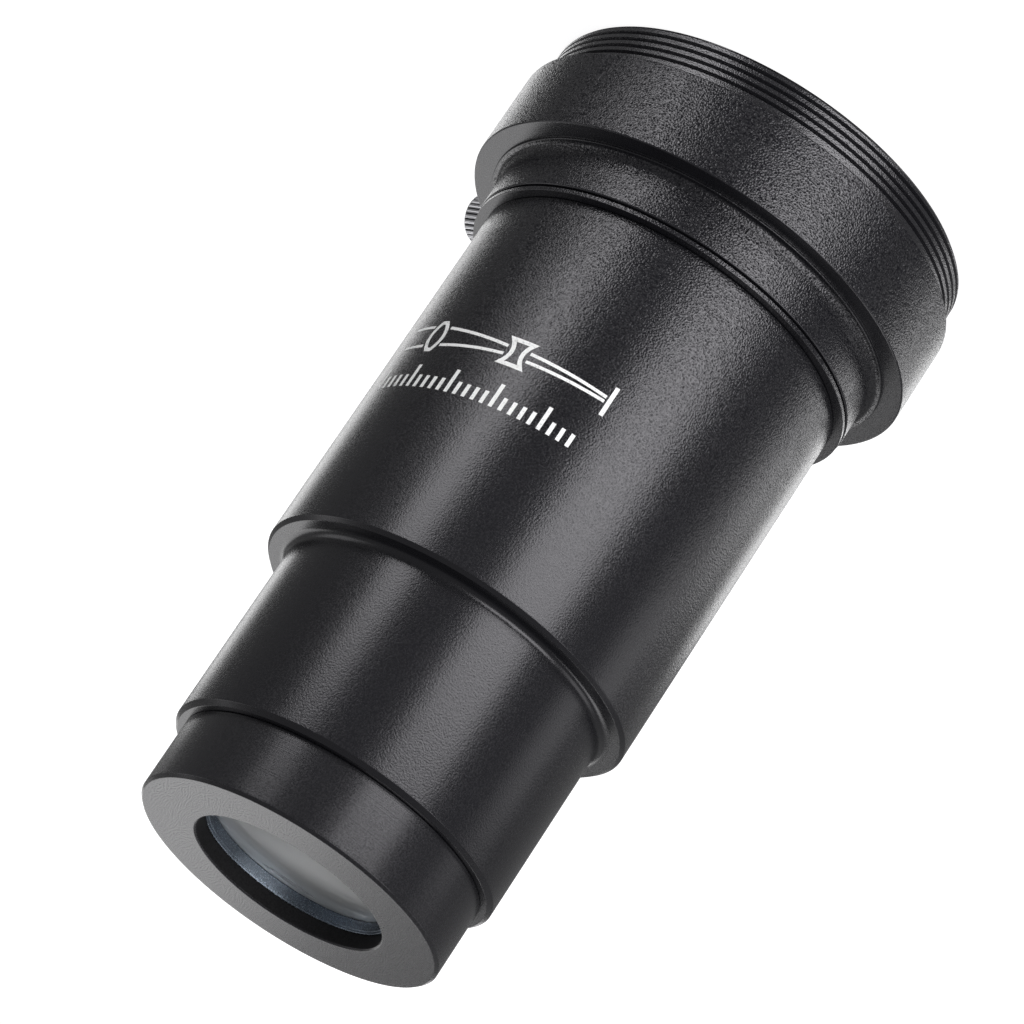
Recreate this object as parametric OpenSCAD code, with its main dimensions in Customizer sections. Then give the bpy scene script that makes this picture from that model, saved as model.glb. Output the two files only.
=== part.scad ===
// Barlow lens for a 1.25 inch telescope focuser, with an M42 x 0.75 camera thread.
// The part stands on its camera thread: Z = 0 is the thread's end face and +Z points to the lens.
// The thumbscrew's axis lies along +X. Turned pieces are profiles of [radius, height] spun about Z.

/* [Overall] */
// Height from the camera thread's end face to the lens cell's face
total_h = 79.2; // [79.2:0.2:84]
// Radial gap between pieces that screw together
thread_gap = 0.05; // [0.02:0.01:0.08]
// Gap between two faces that are screwed up to each other
seat_gap = 0.03; // [0.01:0.01:0.05]

/* [Nosepiece and body] */
// Radius of the 1.25 inch nosepiece
nose_r = 15.85; // [15.8:0.01:15.87]
// Height at which the body steps down to the nosepiece
step_z = 53.95; // [50:0.05:56]
// Length of the nosepiece from that step to its end
nose_len = 18.33; // [17:0.01:18.33]
// Radius of the body
body_r = 18; // [17.8:0.05:18.3]
// Height of the body's lower end
body_z = 17.7; // [17.7:0.05:18]
// Radius of the fillet between body and nosepiece
step_fillet = 0.8; // [0.4:0.1:1.2]
// Chamfer at the nosepiece's end
nose_chamfer = 0.42; // [0.2:0.02:0.6]
// Chamfer at the body's step
body_chamfer = 0.34; // [0.2:0.02:0.5]
// Radius of the bore behind the eyepiece socket
body_bore_r = 16.2; // [16:0.05:16.3]
// Radius of the bore inside the nosepiece
nose_bore_r = 13.4; // [12.5:0.1:13.6]

/* [Eyepiece holder] */
// Radius of the eyepiece socket
socket_r = 15.9; // [15.88:0.01:15.95]
// Depth of the eyepiece socket
socket_depth = 26; // [22:0.5:26]
// Radius of the collar
collar_r = 22; // [21.6:0.1:23]
// Height of the collar's lower face, at the camera thread
collar_z = 4.39; // [4.39:0.01:4.6]
// Height of the collar's upper face
shoulder_z = 12.46; // [12:0.02:12.6]
// Radius of the fillet between collar and neck
shoulder_fillet = 1.8; // [1:0.1:2]
// Radius of the neck
neck_r = 19.05; // [18.8:0.05:19.3]
// Height of the neck's upper end
neck_z = 17.05; // [16.9:0.05:17.05]
// Chamfer at both edges of the collar and at the neck's end
holder_chamfer = 0.35; // [0.2:0.05:0.45]
// Radius of the spigot that screws into the body
spigot_r = 17; // [16.8:0.05:17.1]

/* [Camera thread] */
// Major radius of the M42 thread
camera_thread_r = 20.95; // [20.9:0.01:20.99]
// Pitch of the M42 thread
camera_pitch = 0.75; // [0.7:0.05:0.8]
// Depth of the thread's grooves
camera_groove = 0.45; // [0.3:0.05:0.46]
// Height of the first groove's middle
first_groove_z = 0.9; // [0.85:0.01:0.95]
// Number of grooves
groove_count = 4; // [3:1:4]

/* [Lens cell] */
// Radius of the cell's flange
cell_r = 14.8; // [14.6:0.05:15]
// Radius of the thread that holds the cell in the nosepiece, M28.5 x 0.6
cell_thread_r = 14.2; // [14:0.05:14.25]
// Length of that thread
cell_thread_len = 4.7; // [4:0.1:5]
// Chamfer round the cell's face
cell_chamfer = 0.28; // [0.1:0.02:0.4]
// Radius of the lens bore
lens_bore_r = 9.25; // [9:0.05:9.4]
// Chamfer round the lens bore
lens_bore_chamfer = 0.14; // [0.06:0.02:0.2]
// Depth of the lens below the cell's face
lens_recess = 2.75; // [2.5:0.05:3]
// Height of the thin ring that holds the lens down
retainer_h = 1.25; // [1:0.05:1.4]
// Edge thickness of the front lens
front_edge = 2.9; // [2.6:0.1:3]
// Edge thickness of the rear lens
rear_edge = 2.6; // [2.4:0.1:2.8]
// Thickness of the spacer between the lenses
spacer_t = 0.2; // [0.1:0.05:0.3]
// Radius of curvature of the front surface, hollow
front_curve = 44; // [40:1:60]
// Radius of curvature of the front lens's hollow back
middle_curve = 32; // [30:1:40]
// Radius of curvature of the rear lens's hollow back
rear_curve = 70; // [60:1:90]

/* [Thumbscrew] */
// Height of the thumbscrew's axis
screw_z = 8.4; // [8.3:0.05:8.6]
// Radius of the screw
screw_r = 1.45; // [1.4:0.01:1.47]
// Radius of the knurled head
head_r = 2.45; // [2.3:0.05:2.6]
// Distance from the part's axis to the head's outer end
head_end_x = 28.6; // [28.2:0.1:29]
// Length of the knurled head
head_len = 5; // [4.5:0.1:5]
// Distance from the part's axis to the screw's tip
tip_x = 16.3; // [16.1:0.05:16.4]

/* [Hidden] */
$fn = 96;
ball_facets = 360;
black = [0.15, 0.15, 0.165];
flat_black = [0.08, 0.08, 0.085];
nose_z = step_z + nose_len;
screw_gap = 0.05;
stop_t = 1.5;
stop_hole_r = 13.2;
baffle_z = 40;
baffle_t = 1;
baffle_hole_r = 11.5;
nose_wall_z = step_z - 3.95;
cell_socket_depth = 5.8;
lip_r = 18.95;
lip_t = 0.3;
ring_groove_r = 18.35;
ring_spigot_r = 19.5;
ring_spigot_len = 2.2;
ring_bore_r = spigot_r + thread_gap;
lens_r = lens_bore_r - thread_gap;
retainer_wall = 0.25;
front_dish_r = 8.7;
lens_top_z = total_h - lens_recess;
front_bottom_z = lens_top_z - front_edge;
rear_top_z = front_bottom_z - spacer_t;
rear_bottom_z = rear_top_z - rear_edge;
cell_seat_r = 8.2;
cell_seat_t = 1.4;
cell_back_r = 12.4;
head_inner_x = head_end_x - head_len;
head_socket_depth = 3;
head_chamfer = 0.3;

// Points on an arc about [r, z], from one angle to the other in equal steps
function arc(r, z, radius, from, to, steps = 8) = [
    for (i = [0 : steps])
        let (a = from + (to - from) * i / steps)
        [r + radius * cos(a), z + radius * sin(a)]
];

// Height above the lens's rim plane of a ball's centre whose surface meets the rim at radius r
function ball_rise(curve, r) = sqrt(curve * curve - r * r);

// A flat ring between two radii and two heights
module ring(outer, inner, low, high) {
    rotate_extrude()
        polygon([[inner, low], [outer, low], [outer, high], [inner, high]]);
}

// Nosepiece and body, turned in one piece
module main_barrel() {
    fillet_r = nose_r + step_fillet;
    fillet_z = step_z + step_fillet;
    color(black)
        rotate_extrude()
            polygon(concat(
                [
                    [ring_bore_r, body_z],
                    [body_r, body_z],
                    [body_r, step_z - body_chamfer],
                    [body_r - body_chamfer, step_z]
                ],
                arc(fillet_r, fillet_z, step_fillet, 270, 180),
                [
                    [nose_r, nose_z - nose_chamfer],
                    [nose_r - nose_chamfer, nose_z],
                    [cell_thread_r + thread_gap, nose_z],
                    [cell_thread_r + thread_gap, nose_z - cell_socket_depth],
                    [nose_bore_r, nose_z - cell_socket_depth],
                    [nose_bore_r, nose_wall_z],
                    [body_bore_r, nose_wall_z],
                    [body_bore_r, socket_depth + seat_gap],
                    [ring_bore_r, socket_depth + seat_gap]
                ]
            ));
}

// Neck, collar and eyepiece socket, turned in one piece, with the tapped hole for the thumbscrew
module eyepiece_holder() {
    fillet_r = neck_r + shoulder_fillet;
    fillet_z = shoulder_z + shoulder_fillet;
    ring_seat_r = ring_spigot_r + thread_gap;
    ring_seat_z = collar_z + ring_spigot_len + seat_gap;
    color(black)
        difference() {
            rotate_extrude()
                polygon(concat(
                    [
                        [socket_r, 0],
                        [spigot_r, 0],
                        [spigot_r, ring_seat_z],
                        [ring_seat_r, ring_seat_z],
                        [ring_seat_r, collar_z],
                        [collar_r - holder_chamfer, collar_z],
                        [collar_r, collar_z + holder_chamfer],
                        [collar_r, shoulder_z - holder_chamfer],
                        [collar_r - holder_chamfer, shoulder_z]
                    ],
                    arc(fillet_r, fillet_z, shoulder_fillet, 270, 180),
                    [
                        [neck_r, neck_z - holder_chamfer],
                        [neck_r - holder_chamfer, neck_z],
                        [spigot_r, neck_z],
                        [spigot_r, socket_depth],
                        [socket_r, socket_depth]
                    ]
                ));
            translate([socket_r / 2, 0, screw_z])
                rotate([0, 90, 0])
                    cylinder(r = screw_r + screw_gap, h = collar_r);
        }
}

// Grooved ring between the neck and the body
module joint_ring() {
    lip_z = body_z - seat_gap - lip_t;
    color(black)
        rotate_extrude()
            polygon([
                [ring_bore_r, neck_z + seat_gap],
                [ring_groove_r, neck_z + seat_gap],
                [ring_groove_r, lip_z],
                [lip_r, lip_z],
                [lip_r, lip_z + lip_t],
                [ring_bore_r, lip_z + lip_t]
            ]);
}

// Ring with the camera thread outside, screwed into the collar by its spigot
module camera_thread_ring() {
    root_r = camera_thread_r - camera_groove;
    mouth = camera_groove / sqrt(3) + 0.05;
    bottom = 0.05;
    last_z = first_groove_z + camera_pitch * (groove_count - 1);
    relief_z = last_z + camera_pitch / 2 + mouth / 2;
    color(black)
        rotate_extrude()
            polygon(concat(
                [
                    [ring_bore_r, 0],
                    [root_r, 0],
                    [camera_thread_r, camera_groove]
                ],
                [
                    for (i = [0 : groove_count - 1])
                        let (z = first_groove_z + camera_pitch * i)
                        for (p = [
                            [camera_thread_r, z - mouth],
                            [root_r, z - bottom],
                            [root_r, z + bottom],
                            [camera_thread_r, z + mouth]
                        ])
                            p
                ],
                [
                    [camera_thread_r, relief_z],
                    [root_r, relief_z + camera_groove / 2],
                    [root_r, collar_z - seat_gap],
                    [ring_spigot_r, collar_z - seat_gap],
                    [ring_spigot_r, collar_z + ring_spigot_len],
                    [ring_bore_r, collar_z + ring_spigot_len]
                ]
            ));
}

// Ring that the eyepiece comes up against
module eyepiece_stop_ring() {
    low = socket_depth + 2 * seat_gap;
    color(flat_black)
        ring(body_bore_r - thread_gap, stop_hole_r, low, low + stop_t);
}

// Blackened ring that keeps stray light off the tube's wall
module light_baffle() {
    color(flat_black)
        ring(body_bore_r - thread_gap, baffle_hole_r, baffle_z, baffle_z + baffle_t);
}

// Housing of the lenses, with the thread that holds it in the nosepiece
module lens_cell() {
    flange_z = nose_z + seat_gap;
    back_z = nose_z - cell_thread_len;
    seat_z = rear_bottom_z;
    color(black)
        rotate_extrude()
            polygon([
                [cell_back_r, back_z],
                [cell_thread_r, back_z],
                [cell_thread_r, flange_z],
                [cell_r, flange_z],
                [cell_r, total_h - cell_chamfer],
                [cell_r - cell_chamfer, total_h],
                [lens_bore_r + lens_bore_chamfer, total_h],
                [lens_bore_r, total_h - lens_bore_chamfer],
                [lens_bore_r, seat_z],
                [cell_seat_r, seat_z],
                [cell_seat_r, seat_z - cell_seat_t],
                [cell_back_r, seat_z - cell_seat_t]
            ]);
}

// Thin ring that holds the lenses down on their seat
module lens_retaining_ring() {
    color([0.45, 0.46, 0.48])
        ring(lens_r, lens_r - retainer_wall, lens_top_z, lens_top_z + retainer_h);
}

// Hollow front lens of the negative pair
module front_lens() {
    color([0.75, 0.80, 0.84, 0.4])
        difference() {
            translate([0, 0, front_bottom_z])
                cylinder(r = lens_r, h = front_edge);
            translate([0, 0, lens_top_z + ball_rise(front_curve, front_dish_r)])
                sphere(r = front_curve, $fn = ball_facets);
            translate([0, 0, front_bottom_z - ball_rise(middle_curve, cell_seat_r)])
                sphere(r = middle_curve, $fn = ball_facets);
        }
}

// Thin spacer that keeps the two lenses apart at their rims
module lens_spacer() {
    color(flat_black)
        ring(lens_r, cell_seat_r + 0.2, rear_top_z, front_bottom_z);
}

// Rear lens of the pair, domed in front and slightly hollow behind
module rear_lens() {
    dome = middle_curve + spacer_t;
    color([0.75, 0.80, 0.84, 0.4])
        difference() {
            union() {
                translate([0, 0, rear_bottom_z])
                    cylinder(r = lens_r, h = rear_edge);
                intersection() {
                    translate([0, 0, rear_top_z - ball_rise(dome, cell_seat_r)])
                        sphere(r = dome, $fn = ball_facets);
                    translate([0, 0, rear_top_z - 0.5])
                        cylinder(r = cell_seat_r, h = front_edge);
                }
            }
            translate([0, 0, rear_bottom_z - ball_rise(rear_curve, cell_seat_r)])
                sphere(r = rear_curve, $fn = ball_facets);
        }
}

// Threaded shank of the thumbscrew, its upper end fixed in the head
module thumbscrew_shank() {
    length = head_inner_x + head_socket_depth - tip_x;
    color([0.55, 0.55, 0.58])
        translate([tip_x, 0, screw_z])
            rotate([0, 90, 0])
                cylinder(r = screw_r, h = length);
}

// Knurled head of the thumbscrew
module thumbscrew_head() {
    socket = screw_r + screw_gap;
    color([0.42, 0.42, 0.45])
        translate([head_inner_x, 0, screw_z])
            rotate([0, 90, 0])
                rotate_extrude()
                    polygon([
                        [socket, 0],
                        [head_r - head_chamfer, 0],
                        [head_r, head_chamfer],
                        [head_r, head_len - head_chamfer],
                        [head_r - head_chamfer, head_len],
                        [0, head_len],
                        [0, head_socket_depth + seat_gap],
                        [socket, head_socket_depth + seat_gap]
                    ]);
}

main_barrel();
eyepiece_holder();
joint_ring();
camera_thread_ring();
eyepiece_stop_ring();
light_baffle();
lens_cell();
lens_retaining_ring();
front_lens();
lens_spacer();
rear_lens();
thumbscrew_shank();
thumbscrew_head();
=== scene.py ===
"""Looks of a black 1.25 inch barlow lens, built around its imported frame.

The part stands on its camera thread: Z = 0 is the thread's end face and +Z points to the lens cell.
Sizes are in millimetres and become metres where a mesh is made.
"""

import logging
import math
from collections.abc import Sequence
from dataclasses import dataclass, field
from enum import Enum

import bmesh
import bpy
from mathutils import Matrix, Vector


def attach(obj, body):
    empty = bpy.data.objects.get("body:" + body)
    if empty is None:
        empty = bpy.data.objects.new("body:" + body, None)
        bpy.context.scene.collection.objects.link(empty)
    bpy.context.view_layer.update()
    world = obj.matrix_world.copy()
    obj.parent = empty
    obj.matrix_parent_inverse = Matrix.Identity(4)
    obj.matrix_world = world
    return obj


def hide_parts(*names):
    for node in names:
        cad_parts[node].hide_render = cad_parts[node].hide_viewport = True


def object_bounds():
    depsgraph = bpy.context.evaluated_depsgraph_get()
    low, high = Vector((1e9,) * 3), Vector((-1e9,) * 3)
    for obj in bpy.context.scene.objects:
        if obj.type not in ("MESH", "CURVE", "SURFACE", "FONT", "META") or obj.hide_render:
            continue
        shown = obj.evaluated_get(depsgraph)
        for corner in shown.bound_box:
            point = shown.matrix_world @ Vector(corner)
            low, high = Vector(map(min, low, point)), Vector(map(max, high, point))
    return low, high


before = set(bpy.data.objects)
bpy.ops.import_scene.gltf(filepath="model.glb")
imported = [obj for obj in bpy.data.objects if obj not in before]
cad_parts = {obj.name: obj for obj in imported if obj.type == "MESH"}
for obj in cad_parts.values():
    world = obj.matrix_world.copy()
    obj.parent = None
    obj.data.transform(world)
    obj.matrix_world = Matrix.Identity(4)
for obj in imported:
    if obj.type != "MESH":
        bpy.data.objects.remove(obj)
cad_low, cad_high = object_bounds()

log = logging.getLogger("barlow")

MM = 0.001
SEGMENTS = 256
END_FACE = 0.35  # a face of a turned piece is an end if its normal's Z is more than this
SHARP_ANGLE = math.radians(38)
WELD = 0.000002
MATH, RANGE, NOISE = "ShaderNodeMath", "ShaderNodeMapRange", "ShaderNodeTexNoise"

Point = tuple[float, float]


# ---------------------------------------------------------------- small helpers


def linear(colour: str) -> tuple[float, float, float, float]:
    """Turns an sRGB hex colour into linear light.

    Args:
        colour: Six hex digits, such as "1c1c1f".

    Returns:
        Red, green, blue and an alpha of 1.
    """
    parts = [int(colour[i : i + 2], 16) / 255 for i in (0, 2, 4)]
    lit = [p / 12.92 if p <= 0.04045 else ((p + 0.055) / 1.055) ** 2.4 for p in parts]
    return (lit[0], lit[1], lit[2], 1.0)


def feed(node: bpy.types.Node, inputs: dict[str | int, object]) -> None:
    """Sets or links a node's inputs.

    Args:
        node: The node.
        inputs: Properties by name, and input values by socket name or number. An output socket is linked
            instead, and a node is linked by its first output.
    """
    for key, value in inputs.items():
        if isinstance(value, bpy.types.Node):
            value = value.outputs[0]
        if isinstance(value, bpy.types.NodeSocket):
            node.id_data.links.new(value, node.inputs[key])
        elif isinstance(key, str) and key in node.bl_rna.properties:
            setattr(node, key, value)
        else:
            node.inputs[key].default_value = value


def add_node(
    tree: bpy.types.NodeTree, kind: str, inputs: dict[str | int, object] | None = None
) -> bpy.types.Node:
    """Adds a node with its settings and links.

    Args:
        tree: The shader or geometry tree.
        kind: The node's type name.
        inputs: Its settings and links, as feed takes them.

    Returns:
        The new node.
    """
    node = tree.nodes.new(kind)
    feed(node, inputs or {})
    return node


# ---------------------------------------------------------------- outlines and meshes


@dataclass(frozen=True)
class Corner:
    """One corner of a turned outline, rounded to a radius where it has one."""

    r: float
    z: float
    rounding: float = 0.0
    steps: int = 5


def rounded(corners: Sequence[Corner], closed: bool = True, guard: float = 0.06) -> list[Point]:
    """Draws an outline through corners, with an arc at each rounded one.

    A guard point follows each arc on the straight stretch, so that smooth shading stays flat there.

    Args:
        corners: The outline's corners in order.
        closed: Whether the last corner joins the first.
        guard: Distance from an arc's end to its guard point.

    Returns:
        The outline's points.
    """
    points: list[Point] = []
    count = len(corners)
    for i, corner in enumerate(corners):
        at = Vector((corner.r, corner.z))
        inner = closed or 0 < i < count - 1
        if not inner or corner.rounding <= 0:
            points.append((corner.r, corner.z))
            continue
        before, after = corners[i - 1], corners[(i + 1) % count]
        back, ahead = Vector((before.r, before.z)) - at, Vector((after.r, after.z)) - at
        half = back.angle(ahead) / 2
        reach = min(corner.rounding / math.tan(half), 0.46 * back.length, 0.46 * ahead.length)
        radius = reach * math.tan(half)
        start, end = at + back.normalized() * reach, at + ahead.normalized() * reach
        centre = at + (back.normalized() + ahead.normalized()).normalized() * (radius / math.sin(half))
        spare = min(guard, 0.2 * (back.length - reach), 0.2 * (ahead.length - reach))
        points.append(tuple(start + back.normalized() * spare))
        first, last = start - centre, end - centre
        turn = first.angle_signed(last)
        for step in range(corner.steps + 1):
            share = step / corner.steps
            points.append(tuple(centre + Matrix.Rotation(-turn * share, 2) @ first))
        points.append(tuple(end + ahead.normalized() * spare))
    return points


def dish(radius: float, curve: float, rim_z: float, up: bool, steps: int = 24) -> list[Point]:
    """Points along a spherical surface from its rim to the axis.

    Args:
        radius: Radius of the rim.
        curve: Radius of curvature.
        rim_z: Height of the rim.
        up: Whether the surface rises towards the axis.
        steps: Number of equal steps.

    Returns:
        The points, the rim's first.
    """
    deep = math.sqrt(curve**2 - radius**2)
    sign = 1 if up else -1
    rows = [radius * (1 - i / steps) for i in range(steps + 1)]
    return [(r, rim_z + sign * (math.sqrt(curve**2 - r**2) - deep)) for r in rows]


def spin(
    name: str, outline: Sequence[Point], closed: bool = True, segments: int = SEGMENTS
) -> bpy.types.Object:
    """Turns an outline about Z into a mesh object.

    Args:
        name: The piece's name.
        outline: Points as radius and height in millimetres. A point at radius 0 becomes one pole.
        closed: Whether the last point joins the first.
        segments: Number of steps round the axis.

    Returns:
        The object, at the origin.
    """
    mesh = bpy.data.meshes.new(name)
    shape = bmesh.new()
    rings: list[list[bmesh.types.BMVert]] = []
    for r, z in outline:
        if r < 1e-6:
            rings.append([shape.verts.new((0, 0, z * MM))] * segments)
            continue
        turns = [math.tau * k / segments for k in range(segments)]
        rings.append([shape.verts.new((r * MM * math.cos(t), r * MM * math.sin(t), z * MM)) for t in turns])
    pairs = list(zip(rings, rings[1:])) + ([(rings[-1], rings[0])] if closed else [])
    for lower, upper in pairs:
        for k in range(segments):
            n = (k + 1) % segments
            loop = list(dict.fromkeys([lower[k], lower[n], upper[n], upper[k]]))
            if len(loop) > 2:
                shape.faces.new(loop)
    if closed:
        bmesh.ops.recalc_face_normals(shape, faces=shape.faces)
    shape.to_mesh(mesh)
    shape.free()
    piece = bpy.data.objects.new(name, mesh)
    bpy.context.scene.collection.objects.link(piece)
    return piece


def laid_along_x(z: float) -> Matrix:
    """Turns what was made about Z to lie along X, at a height in millimetres."""
    return Matrix.Translation((0, 0, z * MM)) @ Matrix.Rotation(math.pi / 2, 4, "Y")


def smooth(piece: bpy.types.Object) -> None:
    """Shades a piece smooth, and keeps its sharp corners sharp."""
    piece.data.shade_smooth()
    piece.data.set_sharp_from_angle(angle=SHARP_ANGLE)


def bake(piece: bpy.types.Object) -> None:
    """Turns a piece's modifiers into plain mesh, and points its faces outward."""
    evaluated = piece.evaluated_get(bpy.context.evaluated_depsgraph_get())
    mesh = bpy.data.meshes.new_from_object(evaluated)
    piece.modifiers.clear()
    piece.data = mesh
    shape = bmesh.new()
    shape.from_mesh(mesh)
    bmesh.ops.remove_doubles(shape, verts=shape.verts, dist=WELD)
    bmesh.ops.dissolve_degenerate(shape, edges=shape.edges, dist=WELD / 4)
    bmesh.ops.recalc_face_normals(shape, faces=shape.faces)
    shape.to_mesh(mesh)
    shape.free()


def dress(
    piece: bpy.types.Object,
    outside: bpy.types.Material,
    ends: bpy.types.Material | None = None,
    inside: bpy.types.Material | None = None,
) -> None:
    """Gives a piece its material, and a turned piece others on its ends and inner walls.

    Args:
        piece: The piece, turned about Z if it has more than one material.
        outside: The material.
        ends: What the faces that look along Z have.
        inside: What the walls that look at the axis have.
    """
    piece.data.materials.clear()
    piece.data.materials.append(outside)
    if ends is None or inside is None:
        return
    piece.data.materials.append(ends)
    piece.data.materials.append(inside)
    for face in piece.data.polygons:
        looks_out = face.normal.xy.dot(face.center.xy) > 0
        if abs(face.normal.z) > END_FACE:
            face.material_index = 1
        elif not looks_out:
            face.material_index = 2


# ---------------------------------------------------------------- geometry trees


class GeometryTree:
    """A Geometry Nodes tree with named inputs, made once and used by several pieces."""

    def __init__(self, name: str, floats: Sequence[str], counts: Sequence[str]) -> None:
        """Makes the tree with its inputs.

        Args:
            name: The tree's name.
            floats: Names of the inputs that hold measures.
            counts: Names of the inputs that hold whole numbers.
        """
        self.tree = bpy.data.node_groups.new(name, "GeometryNodeTree")
        face = self.tree.interface
        face.new_socket("Geometry", in_out="OUTPUT", socket_type="NodeSocketGeometry")
        self.keys: dict[str, str] = {}
        kinds = {"Base": "Geometry", **dict.fromkeys(floats, "Float"), **dict.fromkeys(counts, "Int")}
        for label, kind in {**kinds, "Material": "Material"}.items():
            socket = face.new_socket(label, in_out="INPUT", socket_type=f"NodeSocket{kind}")
            self.keys[label] = socket.identifier
        self.entry = self.tree.nodes.new("NodeGroupInput")

    def value(self, label: str) -> bpy.types.NodeSocket:
        """The socket of a named input inside the tree."""
        return self.entry.outputs[label]

    def unit_grid(self) -> tuple[bpy.types.Node, bpy.types.Node, bpy.types.Node]:
        """Adds a grid with one side round the axis and the other along it.

        Returns:
            The grid, its points' position split in X, Y and Z, and the share of a turn from 0 to 1.
        """
        counts = {"Vertices X": self.value("Columns"), "Vertices Y": self.value("Rows")}
        grid = add_node(self.tree, "GeometryNodeMeshGrid", {"Size X": 1.0, "Size Y": 1.0, **counts})
        place = add_node(
            self.tree, "ShaderNodeSeparateXYZ", {0: self.tree.nodes.new("GeometryNodeInputPosition")}
        )
        return grid, place, add_node(self.tree, MATH, {"operation": "ADD", 0: place.outputs["X"], 1: 0.5})

    def put_round(
        self,
        angle: bpy.types.Node,
        radius: bpy.types.Node | bpy.types.NodeSocket,
        z: bpy.types.Node,
    ) -> bpy.types.Node:
        """Adds the nodes that turn an angle, a radius and a height into a position.

        Args:
            angle: Angle round Z, in radians.
            radius: Distance from Z.
            z: Height.

        Returns:
            The node with the position.
        """
        spot = add_node(self.tree, "ShaderNodeCombineXYZ", {"Z": z})
        for axis, operation in (("X", "COSINE"), ("Y", "SINE")):
            wave = add_node(self.tree, MATH, {"operation": operation, 0: angle})
            feed(spot, {axis: add_node(self.tree, MATH, {"operation": "MULTIPLY", 0: wave, 1: radius})})
        return spot

    def close_round(
        self, grid: bpy.types.Node, around: bpy.types.Node, radius: bpy.types.Node, z: bpy.types.Node
    ) -> None:
        """Wraps a grid round Z and closes the tree.

        Args:
            grid: The flat grid.
            around: Share of a turn, from 0 to 1.
            radius: Distance from the axis.
            z: Height.
        """
        angle = add_node(self.tree, MATH, {"operation": "MULTIPLY", 0: around, 1: math.tau})
        spot = self.put_round(angle, radius, z)
        self.close(add_node(self.tree, "GeometryNodeSetPosition", {"Geometry": grid, "Position": spot}))

    def close(self, geometry: bpy.types.Node) -> None:
        """Joins the made geometry to the base, welds it, realizes it and sets its material.

        Args:
            geometry: The node that holds what the tree has made.
        """
        tree = self.tree
        joined = add_node(tree, "GeometryNodeJoinGeometry", {0: geometry})
        feed(joined, {0: self.value("Base")})
        real = add_node(tree, "GeometryNodeRealizeInstances", {0: joined})
        weld = add_node(tree, "GeometryNodeMergeByDistance", {"Distance": WELD, 0: real})
        paint = add_node(tree, "GeometryNodeSetMaterial", {0: weld, "Material": self.value("Material")})
        add_node(tree, "NodeGroupOutput", {0: paint})

    def apply(self, piece: bpy.types.Object, values: dict[str, object], material: bpy.types.Material) -> None:
        """Runs the tree on a piece and leaves plain mesh.

        Args:
            piece: The object that holds the base geometry.
            values: Input values by name.
            material: The finish of the result.
        """
        modifier = piece.modifiers.new(self.tree.name, "NODES")
        modifier.node_group = self.tree
        for label, value in {**values, "Material": material}.items():
            modifier[self.keys[label]] = value
        bake(piece)


def helical_thread_tree() -> GeometryTree:
    """Makes the tree of a right-handed screw thread.

    A grid's columns go round the axis and its rows climb one pitch a turn, so each row keeps its place in
    the thread's section. Rows past either end fold onto the end's edge and are welded there. The groove
    fades out towards its last height, where the tool was drawn back.

    Returns:
        The tree.
    """
    lengths = ("Radius", "Depth", "Pitch", "Low", "High", "Lead In", "Run Out", "Fade", "Last")
    group = GeometryTree("HelicalThread", (*lengths, "Root", "Crest", "Phase", "Turns"), ("Columns", "Rows"))
    tree, value = group.tree, group.value
    grid, place, around = group.unit_grid()
    row = add_node(tree, MATH, {"operation": "ADD", 0: place.outputs["Y"], 1: 0.5})
    turn = add_node(tree, MATH, {"operation": "MULTIPLY_ADD", 0: row, 1: value("Turns"), 2: -1.0})
    climb = add_node(tree, MATH, {"operation": "ADD", 0: turn, 1: around})
    free_z = add_node(tree, MATH, {"operation": "MULTIPLY_ADD", 0: climb, 1: value("Pitch"), 2: value("Low")})
    z = add_node(tree, "ShaderNodeClamp", {"Value": free_z, "Min": value("Low"), "Max": value("High")})
    shifted = add_node(tree, MATH, {"operation": "SUBTRACT", 0: turn, 1: value("Phase")})
    phase = add_node(tree, MATH, {"operation": "FRACT", 0: shifted})
    offset = add_node(tree, MATH, {"operation": "SUBTRACT", 0: phase, 1: 0.5})
    aside = add_node(tree, MATH, {"operation": "ABSOLUTE", 0: offset})
    groove = add_node(
        tree, RANGE,
        {
            "clamp": True, "To Max": 0.0, "Value": aside, "From Min": value("Root"),
            "From Max": value("Crest"), "To Min": value("Depth"),
        },
    )
    fade = add_node(
        tree, RANGE,
        {
            "clamp": True, "To Min": 1.0, "To Max": 0.0, "Value": z, "From Min": value("Fade"),
            "From Max": value("Last"),
        },
    )
    faded = add_node(tree, MATH, {"operation": "MULTIPLY", 0: groove, 1: fade})
    above = add_node(tree, MATH, {"operation": "SUBTRACT", 0: z, 1: value("Low")})
    lead = add_node(tree, MATH, {"operation": "SUBTRACT", 0: value("Lead In"), 1: above})
    past = add_node(tree, MATH, {"operation": "SUBTRACT", 0: z, 1: value("Run Out")})
    tail = add_node(tree, MATH, {"operation": "MINIMUM", 0: past, 1: value("Depth")})
    ends = add_node(tree, MATH, {"operation": "MAXIMUM", 0: lead, 1: tail})
    cut = add_node(tree, MATH, {"operation": "MAXIMUM", 0: faded, 1: ends})
    radius = add_node(tree, MATH, {"operation": "SUBTRACT", 0: value("Radius"), 1: cut})
    group.close_round(grid, around, radius, z)
    return group


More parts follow.
